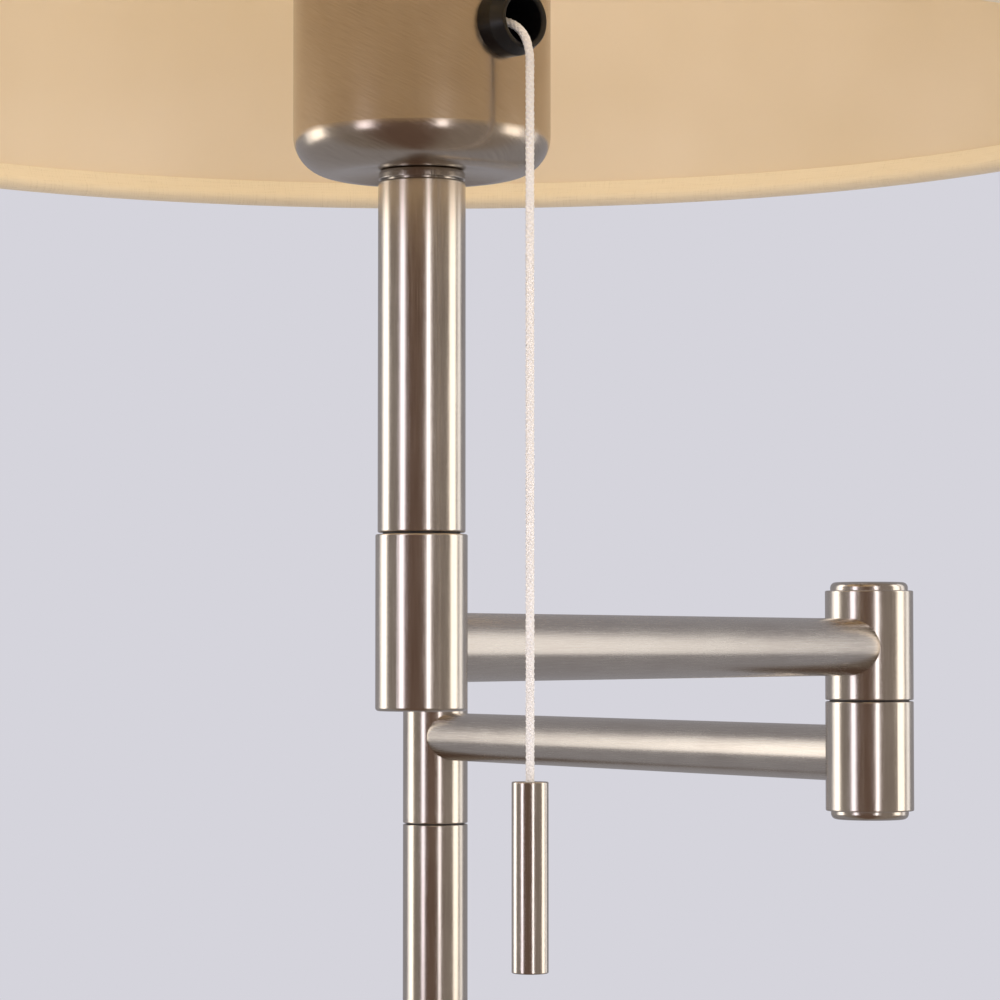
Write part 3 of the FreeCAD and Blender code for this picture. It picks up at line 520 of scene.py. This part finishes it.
def lathe(name, outline, axis=Vector((0, 0, 0)), steps=128, smooth_angle=35, sweep=math.tau):
    """Pulls a point along an outline of (radius, height) and spins the line round an upright axis; a sweep
    under a whole turn leaves a strip, whose ends are closed."""
    bpy.ops.object.select_all(action="DESELECT")
    bpy.ops.mesh.primitive_plane_add(size=MM, location=(0, 0, 0))
    piece = bpy.context.object
    piece.name = piece.data.name = name
    bpy.ops.object.mode_set(mode="EDIT")
    bpy.ops.mesh.merge(type="CENTER")
    bpy.ops.transform.translate(value=(outline[0][0], 0, outline[0][1]))
    for here, there in zip(outline, outline[1:]):
        bpy.ops.mesh.extrude_region_move(
            TRANSFORM_OT_translate={"value": (there[0] - here[0], 0, there[1] - here[1])})
    bpy.ops.mesh.select_all(action="SELECT")
    bpy.ops.mesh.spin(steps=steps, angle=sweep, center=(0, 0, 0), axis=(0, 0, 1))
    bpy.ops.mesh.select_all(action="SELECT")
    bpy.ops.mesh.remove_doubles(threshold=0.001 * MM)
    if sweep < math.tau:
        bpy.ops.mesh.fill_holes(sides=0)
    bpy.ops.mesh.normals_make_consistent(inside=False)
    bpy.ops.transform.translate(value=axis)
    bpy.ops.object.mode_set(mode="OBJECT")
    bpy.ops.object.shade_smooth_by_angle(angle=math.radians(smooth_angle))
    return piece


def place_piece(piece, body, slot, material, *nodes):
    """Gives a finished piece its material and body, and hides the CAD nodes that it stands for. The slot is
    not used.
    """
    dress(material, piece)
    if nodes:
        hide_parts(*nodes)
    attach(piece, body)
    print(piece.name, len(piece.data.polygons), "faces")


# %% [markdown]
# ## The shade's cloth
# The shade is plain linen laminated to a stiff lining, rolled into a cone and joined by one upright lap seam.
# Its edges are folded over wire hoops. Cloth this stiff keeps its shape, so outside, lining and the two
# folded hems are separate thin turned pieces. A UV map that runs round and up in metres lets the weave follow
# the cloth. Threads of 0.7 mm are a coarse lamp linen, and its slubs are about 9 mm long.

# %% Measure the shade
CONE_ROWS, CONE_STEPS = 16, 192
CLOTH_MAP = "round_and_up"


def rim_radius(node, height):
    """How far a CAD node reaches from the head's axis at a height."""
    near = [v.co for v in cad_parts[node].data.vertices if abs(v.co.z - height) < 0.2 * MM]
    return max((co.xy - head_axis.xy).length for co in near)


shade_low = height_of("shade_fabric", 0)
shade_high = height_of("shade_fabric", 1)
low_radius = rim_radius("shade_fabric", shade_low)
high_radius = rim_radius("shade_fabric", shade_high)
print("shade", round(low_radius, 4), round(high_radius, 4), round(shade_high - shade_low, 4))


def cone_radius(height):
    """The shade's outer radius at a height."""
    return low_radius + (high_radius - low_radius) * (height - shade_low) / (shade_high - shade_low)


def cone_section(outside, thickness, low, high):
    """A thin strip up the cone, from low to high, as a closed outline. Its outer side stands outside the
    shade's own face by outside."""
    heights = [low + (high - low) * row / CONE_ROWS for row in range(CONE_ROWS + 1)]
    outer = [(cone_radius(z) + outside, z) for z in heights]
    inner = [(cone_radius(z) + outside - thickness, z) for z in reversed(heights)]
    return outer + inner + outer[:1]


def wrap_uv(piece):
    """A UV map in metres: round the head's axis, at the radius of the shade's lower edge, and up."""
    layer = piece.data.uv_layers.new(name=CLOTH_MAP)
    vertices = piece.data.vertices
    for face in piece.data.polygons:
        middle_angle = math.atan2(face.center.y - head_axis.y, face.center.x - head_axis.x)
        for loop in face.loop_indices:
            place = vertices[piece.data.loops[loop].vertex_index].co
            angle = math.atan2(place.y - head_axis.y, place.x - head_axis.x)
            turn = (angle - middle_angle + math.pi) % math.tau - math.pi
            layer.data[loop].uv = ((middle_angle + turn) * low_radius, place.z)


# %% Weave the linen
# A wave texture shows one band in every 0.314 of its coordinate at scale 1.
BAND = 0.314
SLUB = 9 * MM


def linen(name, thread=0.7 * MM, dark="CDBFA8", light="EFE6D6"):
    """Plain weave: threads cross over and under, and some are thicker for a stretch, a slub."""
    material, tree, shader = new_material(name)
    flat = add_node(tree, "ShaderNodeUVMap", {"uv_map": CLOTH_MAP})
    waves = []
    for axis in "XY":
        waves.append(add_node(tree, "ShaderNodeTexWave",
                              {"bands_direction": axis, "Scale": BAND / thread, "Distortion": 0.6,
                               "Detail": 1.0}, {"Vector": flat.outputs["UV"]}))
    weave = add_node(tree, "ShaderNodeMath", {"operation": "MULTIPLY"},
                     {0: waves[0].outputs["Fac"], 1: waves[1].outputs["Fac"]})
    slubs = []
    for scale in ((1 / SLUB, 1 / thread, 1), (1 / thread, 1 / SLUB, 1)):
        stretched = add_node(tree, "ShaderNodeMapping", {"Scale": scale}, {"Vector": flat.outputs["UV"]})
        slubs.append(add_node(tree, "ShaderNodeTexNoise", {"Scale": 1.0, "Detail": 2.0},
                              {"Vector": stretched.outputs["Vector"]}))
    both = add_node(tree, "ShaderNodeMath", {"operation": "ADD"},
                    {0: slubs[0].outputs["Fac"], 1: slubs[1].outputs["Fac"]})
    shade_of = add_node(tree, "ShaderNodeMath", {"operation": "MULTIPLY_ADD", 1: 0.35},
                        {0: weave.outputs[0], 2: both.outputs[0]})
    tone = set_ramp(add_node(tree, "ShaderNodeValToRGB", {}, {"Fac": shade_of.outputs[0]}),
                    [(0.55, colour(dark)), (1.0, colour(light))])
    tree.links.new(tone.outputs["Color"], shader.inputs["Base Color"])
    bump = add_node(tree, "ShaderNodeBump", {"Strength": 0.5, "Distance": 0.15 * MM},
                    {"Height": shade_of.outputs[0]})
    tree.links.new(bump.outputs["Normal"], shader.inputs["Normal"])
    shader.inputs["Roughness"].default_value = 0.85
    shader.inputs["Sheen Weight"].default_value = 0.25
    return material


def lining(name):
    """Smooth laminated backing: a faint print of the threads behind it, and a slow change of tone."""
    material, tree, shader = new_material(name)
    flat = add_node(tree, "ShaderNodeUVMap", {"uv_map": CLOTH_MAP})
    cloud = add_node(tree, "ShaderNodeTexNoise", {"Scale": 1 / (60 * MM), "Detail": 2.0},
                     {"Vector": flat.outputs["UV"]})
    tone = set_ramp(add_node(tree, "ShaderNodeValToRGB", {}, {"Fac": cloud.outputs["Fac"]}),
                    [(0.3, colour("D6C3A2")), (0.7, colour("DECCAE"))])
    tree.links.new(tone.outputs["Color"], shader.inputs["Base Color"])
    print_through = add_node(tree, "ShaderNodeTexNoise", {"Scale": 1 / (0.8 * MM), "Detail": 1.0},
                             {"Vector": flat.outputs["UV"]})
    bump = add_node(tree, "ShaderNodeBump", {"Strength": 0.15, "Distance": 0.05 * MM},
                    {"Height": print_through.outputs["Fac"]})
    tree.links.new(bump.outputs["Normal"], shader.inputs["Normal"])
    shader.inputs["Roughness"].default_value = 0.55
    return material


# %% Make the cloth and the lining
CLOTH, LINING = 0.6 * MM, 0.5 * MM
linen_cloth = linen("linen, plain weave, laminated")
cloth = lathe("shade_cloth", cone_section(0, CLOTH, shade_low, shade_high), head_axis, CONE_STEPS)
wrap_uv(cloth)
place_piece(cloth, "head", "shade_fabric", linen_cloth, "shade_fabric")
inside = lathe("shade_lining", cone_section(-CLOTH, LINING, shade_low, shade_high), head_axis, CONE_STEPS)
wrap_uv(inside)
place_piece(inside, "head", "shade_liner", lining("polyester backing, smooth"), "shade_liner")

# %% [markdown]
# ## The lap seam
# Where the rolled cloth meets itself, its outer edge laps 12 mm over the inner one. The lap is at the back of
# the lamp, where the room doesn't see it. It is one more thin strip, and it ends short of the hems.

# %% Lap the cloth's edge
LAP_WIDTH, LAP_CLOTH, LAP_SHORT = 12 * MM, 0.35 * MM, 8 * MM
LAP_BEARING = 85
lap_section = cone_section(LAP_CLOTH, 2 * LAP_CLOTH, shade_low + LAP_SHORT, shade_high - LAP_SHORT)
lap = lathe("shade_lap_seam", lap_section, steps=6, sweep=LAP_WIDTH / low_radius)
lap.data.transform(Matrix.Translation(head_axis) @ Matrix.Rotation(math.radians(LAP_BEARING), 4, "Z"))
wrap_uv(lap)
place_piece(lap, "head", "shade_fabric", linen_cloth, "shade_fabric")

# %% [markdown]
# ## Folded hems
# At each edge a finer linen is folded round the wire hoop and glued: a narrow band outside, a round roll over
# the wire and a short turn-in on the lining. One section with a big arc at the wire gives the roll its true
# softness, which a flat band wouldn't.

# %% Fold a hem round each hoop
HEM_BAND, HEM_TURN_IN, HEM_CLOTH = 9 * MM, 6.5 * MM, 0.4 * MM
HOOP_WIRE, HOOP_GAP, ROLL = 1.6 * MM, 0.3 * MM, 2.1 * MM
ROLL_STEPS, ROLL_START, ROLL_TURN = 12, -60, -180


def hem(name, edge, up):
    """A folded hem at the shade's edge; up is 1 where the band rises from the edge, and -1 where it hangs."""
    band, turn_in = edge + up * HEM_BAND, edge + up * HEM_TURN_IN
    wire_across = cone_radius(edge) - (CLOTH + LINING + HOOP_GAP + HOOP_WIRE)
    wire_height = edge + up * HOOP_WIRE
    section = [(cone_radius(band) + HEM_CLOTH, band), (cone_radius(edge) + HEM_CLOTH, edge + up * HEM_CLOTH)]
    for step in range(ROLL_STEPS + 1):
        angle = math.radians(ROLL_START + ROLL_TURN * step / ROLL_STEPS)
        section.append((wire_across + ROLL * math.cos(angle), wire_height + up * ROLL * math.sin(angle)))
    inner = cone_radius(turn_in) - CLOTH - LINING - HEM_CLOTH
    section += [(inner, turn_in), (inner + HEM_CLOTH, turn_in)]
    section.append((cone_radius(turn_in) + HEM_CLOTH / 2, edge + up * HEM_BAND * 0.98))
    piece = lathe(name, section + section[:1], head_axis, CONE_STEPS, smooth_angle=50)
    wrap_uv(piece)
    return piece


hem_cloth = linen("linen, folded hem", thread=0.5 * MM, dark="C9B896", light="D8C8A8")
place_piece(hem("shade_bottom_hem", shade_low, 1), "head", "trim_tape", hem_cloth, "shade_trims",
            "shade_bottom_ring")
place_piece(hem("shade_top_hem", shade_high, -1), "head", "trim_tape", hem_cloth, "shade_trims")

# %% [markdown]
# ## The black bush
# The cord runs through a moulded bush of black polyamide, pushed into the cup from outside. Moulded plastic
# has no sharp edges: the body tapers to the lip and the mouth is rounded, so that the cord doesn't fray.

# %% Mould the bush
def lie_along(piece, bearing, at):
    """Lays an upright turned piece along a bearing, out from a point."""
    turn = Matrix.Rotation(bearing, 4, "Z") @ Matrix.Rotation(math.radians(90), 4, "Y")
    piece.data.transform(Matrix.Translation(at) @ turn)


def black_plastic(name):
    """Moulded black nylon: a satin skin with a faint grain of 0.35 mm from the mould."""
    material, tree, shader = new_material(name)
    place = add_node(tree, "ShaderNodeTexCoord")
    grain = add_node(tree, "ShaderNodeTexNoise", {"Scale": 1 / (0.35 * MM), "Detail": 2.0},
                     {"Vector": place.outputs["Object"]})
    rough = add_node(tree, "ShaderNodeMapRange", {"To Min": 0.26, "To Max": 0.42},
                     {"Value": grain.outputs["Fac"]})
    tree.links.new(rough.outputs["Result"], shader.inputs["Roughness"])
    bump = add_node(tree, "ShaderNodeBump", {"Strength": 0.2, "Distance": 0.03 * MM},
                    {"Height": grain.outputs["Fac"]})
    tree.links.new(bump.outputs["Normal"], shader.inputs["Normal"])
    shader.inputs["Base Color"].default_value = colour("0B0B0C")
    return material


moulded_black = black_plastic("polyamide, moulded black")
BUSH_BORE, BUSH_NECK, BUSH_LIP, BUSH_BODY = 5.2 * MM, 6.3 * MM, 6.5 * MM, 7.8 * MM
# How far the bush's inner end, its seat on the cup and its mouth are from the head's axis.
BUSH_END, BUSH_SEAT, BUSH_MOUTH = 22.4 * MM, 28.4 * MM, 35.6 * MM
bush = lathe("cord_bush_moulded", rounded([
    (BUSH_BORE, BUSH_END), (BUSH_NECK, BUSH_END), (BUSH_NECK, BUSH_SEAT), (BUSH_BODY, BUSH_SEAT),
    (BUSH_BODY, BUSH_MOUTH - 3.1 * MM, 1.2 * MM), (BUSH_LIP + 0.25 * MM, BUSH_MOUTH - 0.75 * MM, 0.5 * MM),
    (BUSH_LIP, BUSH_MOUTH, 0.35 * MM), (BUSH_BORE, BUSH_MOUTH, 0.7 * MM), (BUSH_BORE, BUSH_MOUTH - 3 * MM),
    (BUSH_BORE, BUSH_END)]), steps=72)
lie_along(bush, bush_yaw, head_axis + Vector((0, 0, bush_height)))
place_piece(bush, "head", "black_plastic", moulded_black, "cord_bush")
dress(moulded_black, "cord_bush_nut", "pull_switch", "cord_inlet_bush")

# %% [markdown]
# ## Hidden metal, plastic and the base
# Pins, nuts, plugs and wires are seen only where pieces part, but each still gets its own finish: zinc-plated
# steel with a crystal speckle, a painted rough casting in the base, pressed felt under it, nylon washers and
# smooth wire insulation. Sizes of the patterns come from the real surfaces: plating crystals of about 1 mm, a
# casting's skin of 2 mm and felt fibres of 0.5 mm.

# %% Make the plain finishes
def mottled(name, dark, light, size, rough, metallic=0.0, depth=0.02 * MM, coat=0.0, sheen=0.0):
    """A finish whose tone, gloss and relief follow one fine speckle of a given size."""
    material, tree, shader = new_material(name)
    place = add_node(tree, "ShaderNodeTexCoord")
    speckle = add_node(tree, "ShaderNodeTexNoise", {"Scale": 1 / size, "Detail": 4.0, "Roughness": 0.6},
                       {"Vector": place.outputs["Object"]})
    tone = set_ramp(add_node(tree, "ShaderNodeValToRGB", {}, {"Fac": speckle.outputs["Fac"]}),
                    [(0.35, colour(dark)), (0.65, colour(light))])
    tree.links.new(tone.outputs["Color"], shader.inputs["Base Color"])
    gloss = add_node(tree, "ShaderNodeMapRange", {"To Min": rough - 0.07, "To Max": rough + 0.07},
                     {"Value": speckle.outputs["Fac"]})
    tree.links.new(gloss.outputs["Result"], shader.inputs["Roughness"])
    bump = add_node(tree, "ShaderNodeBump", {"Strength": 0.3, "Distance": depth},
                    {"Height": speckle.outputs["Fac"]})
    tree.links.new(bump.outputs["Normal"], shader.inputs["Normal"])
    shader.inputs["Metallic"].default_value = metallic
    shader.inputs["Coat Weight"].default_value = coat
    shader.inputs["Sheen Weight"].default_value = sheen
    return material


zinc = mottled("zinc-plated steel", "A5A8AB", "BFC2C4", 1.2 * MM, 0.36, metallic=1.0)
casting = mottled("cast iron, thin black paint", "151617", "262728", 2.0 * MM, 0.6, depth=0.3 * MM)
felt = mottled("pressed wool felt, dark green", "1B2420", "35403A", 0.5 * MM, 0.92, depth=0.4 * MM, sheen=0.5)
nylon = mottled("nylon, natural dark", "2A2624", "3A3532", 0.8 * MM, 0.5)
wire_skin = mottled("PVC insulation, ivory", "CFC9BB", "DBD6C9", 3.0 * MM, 0.38, coat=0.2)
dress(zinc, "base_nipple", "base_washer", "base_nut", "pole_foot_plug", "pole_couplers", "pole_top_plug",
      "pole_swivel_pin", "pole_nut_and_washer", "elbow_swivel_pin", "elbow_nut_and_washer", "head_swivel_pin",
      "head_nut_and_washer", "stem_foot_plug", "cup_nipple", "harp_saddle")
dress(casting, "base_weight")
dress(felt, "base_felt")
dress(nylon, "pole_friction_washer", "elbow_friction_washer", "head_friction_washer")
dress(wire_skin, "pole_wire", "lower_arm_wire", "upper_arm_wire", "head_wire")
print("dressed the hidden pieces")

# %% [markdown]
# ## Lampholder, bulb, harp and finial
# Above the cup stands a lampholder of pressed phenolic resin with grip rings. The bulb's screw cap is rolled
# aluminium with a true spiral of 3.6 mm pitch: a smooth turned cap is made first, and each of its points is
# then moved inwards by how far round and up it lies. The opal glass swells from the neck to a ball. The
# finial is turned brass, plated with nickel, with a neck that fingers can grip.

# %% Turn the lampholder
TURNED_STEPS = 96


def turned_for(name, node, corners, smooth_angle=35):
    """A turned piece for a CAD node; its corners are (radius, height over the node's foot) in millimetres."""
    foot = height_of(node, 0)
    outline = rounded([(across * MM, foot + up * MM, *[r * MM for r in arc]) for across, up, *arc in corners])
    return lathe(name, outline, head_axis, TURNED_STEPS, smooth_angle)


# Radii of the lampholder, its grip grooves, its mouth and the hole for the nipple, and its floor's thickness.
HOLDER, GROOVED, MOUTH, HOLE, FLOOR_TOP = 20, 19.2, 17.8, 5.2, 6
GROOVES, FIRST_GROOVE, GROOVE_PITCH = 4, 9, 3
holder_tall = (height_of("lampholder", 1) - height_of("lampholder", 0)) / MM
rings = []
for groove in range(GROOVES):
    foot = FIRST_GROOVE + GROOVE_PITCH * groove
    rings += [(HOLDER, foot, 0.4), (GROOVED, foot + 0.6, 0.3), (GROOVED, foot + 1.6, 0.3),
              (HOLDER, foot + 2.2, 0.4)]
holder = turned_for("lampholder_turned", "lampholder", [
    (HOLE, 0), (14, 0, 1.5), (17, 4, 2), (HOLDER, FLOOR_TOP, 1.5), *rings, (HOLDER, holder_tall, 0.8),
    (MOUTH, holder_tall, 0.8), (MOUTH, FLOOR_TOP), (HOLE, FLOOR_TOP), (HOLE, 0)])
phenolic = mottled("phenolic resin, pressed black", "100E0D", "1C1917", 1.5 * MM, 0.3, coat=0.3)
place_piece(holder, "head", "black_plastic", phenolic, "lampholder")

# %% Roll the bulb's screw cap
# The thread starts above the contact's insulator and ends below a plain rim.
THREAD_FOOT, THREAD_RIM, THREAD_ROWS = 5 * MM, 1 * MM, 60
THREAD_PITCH, THREAD_DEPTH = 3.6 * MM, 1.1 * MM
cap_low, cap_high = height_of("bulb_cap", 0), height_of("bulb_cap", 1)
cap_radius = radius_of("bulb_cap")
thread_low, thread_high = cap_low + THREAD_FOOT, cap_high - THREAD_RIM


def cut_thread(piece):
    """Sinks the spiral into the turned cap; it fades out over an eighth of its height at both ends."""
    for vertex in piece.data.vertices:
        spoke = vertex.co.xy - head_axis.xy
        share = (vertex.co.z - thread_low) / (thread_high - thread_low)
        if 0 < share < 1 and spoke.length > 0.8 * cap_radius:
            turn = math.atan2(spoke.y, spoke.x) / math.tau
            wave = 0.5 - 0.5 * math.cos(math.tau * (vertex.co.z / THREAD_PITCH - turn))
            sink = THREAD_DEPTH * wave * min(1, 8 * share, 8 * (1 - share))
            vertex.co.xy = head_axis.xy + spoke * (1 - sink / spoke.length)


rows = [(cap_radius, thread_low + (thread_high - thread_low) * row / THREAD_ROWS)
        for row in range(THREAD_ROWS + 1)]
cap_foot = rounded([(0, cap_low), (4 * MM, cap_low, 0.5 * MM), (5 * MM, cap_low + 1.5 * MM, 0.4 * MM),
                    (cap_radius - 1.5 * MM, cap_low + 4 * MM, 1 * MM), rows[0]])
cap = lathe("bulb_screw_cap", cap_foot + rows[1:] + [(0, cap_high)], head_axis, TURNED_STEPS, smooth_angle=60)
cut_thread(cap)
aluminium = mottled("aluminium, rolled bright", "C9CACC", "DCDDDF", 4 * MM, 0.24, metallic=1.0)
place_piece(cap, "head", "bulb_cap_metal", aluminium, "bulb_cap")

# %% Blow the bulb
GLASS_WALL, NECK = 0.8 * MM, 14 * MM
# The ball is drawn from where the neck's flare joins it, in degrees from its middle, up to its top.
FLARE_ANGLE, BALL_STEPS, FLARE_STEPS = -40, 24, 12


def bulb_outline():
    """The bulb's half section: a neck that flares on one smooth curve into a ball, and back down inside."""
    foot, top, ball = height_of("bulb_glass", 0), height_of("bulb_glass", 1), radius_of("bulb_glass")
    centre = top - ball
    side = []
    for step in range(BALL_STEPS + 1):
        angle = math.radians(FLARE_ANGLE + (90 - FLARE_ANGLE) * step / BALL_STEPS)
        side.append((ball * math.cos(angle), centre + ball * math.sin(angle)))
    join = side[0]
    flare = []
    for step in range(FLARE_STEPS):
        share = step / FLARE_STEPS
        ease = share * share * (3 - 2 * share)
        flare.append((NECK + (join[0] - NECK) * ease, foot + (join[1] - foot) * share))
    outside = flare + side[:-1] + [(0, top)]
    inside = [(max(0, across - GLASS_WALL), up - (GLASS_WALL if up > centre else 0))
              for across, up in reversed(outside)]
    return outside + inside + outside[:1]


glass_bulb = lathe("bulb_opal_glass", bulb_outline(), head_axis, TURNED_STEPS, smooth_angle=60)
opal = mottled("opal glass, etched inside", "EFEDE6", "F7F5F0", 12 * MM, 0.28, depth=0.005 * MM, coat=0.6)
place_piece(glass_bulb, "head", "frosted_glass", opal, "bulb_glass")

# %% Turn the finial, and dress the wirework
# The threaded hole's radius and depth, and the radii of the foot, the neck and the knob.
BORE, BORE_DEEP, FOOT, WAIST, KNOB = 3.05, 10, 7.5, 3.9, 6.6
finial_tall = (height_of("finial", 1) - height_of("finial", 0)) / MM
finial = turned_for("finial_turned", "finial", [
    (0, BORE_DEEP), (BORE, BORE_DEEP), (BORE, 0, 0.2), (FOOT, 0, 0.5), (FOOT, 2.6, 0.8), (WAIST, 3.8, 0.8),
    (WAIST, 5.4, 1.2), (KNOB, 7, 1.6), (KNOB, 12.6, 3), (2, finial_tall, 1.5), (0, finial_tall)],
    smooth_angle=50)
place_piece(finial, "head", "brushed_nickel", upright_nickel, "finial")
dress(zinc, "harp", "shade_spider")
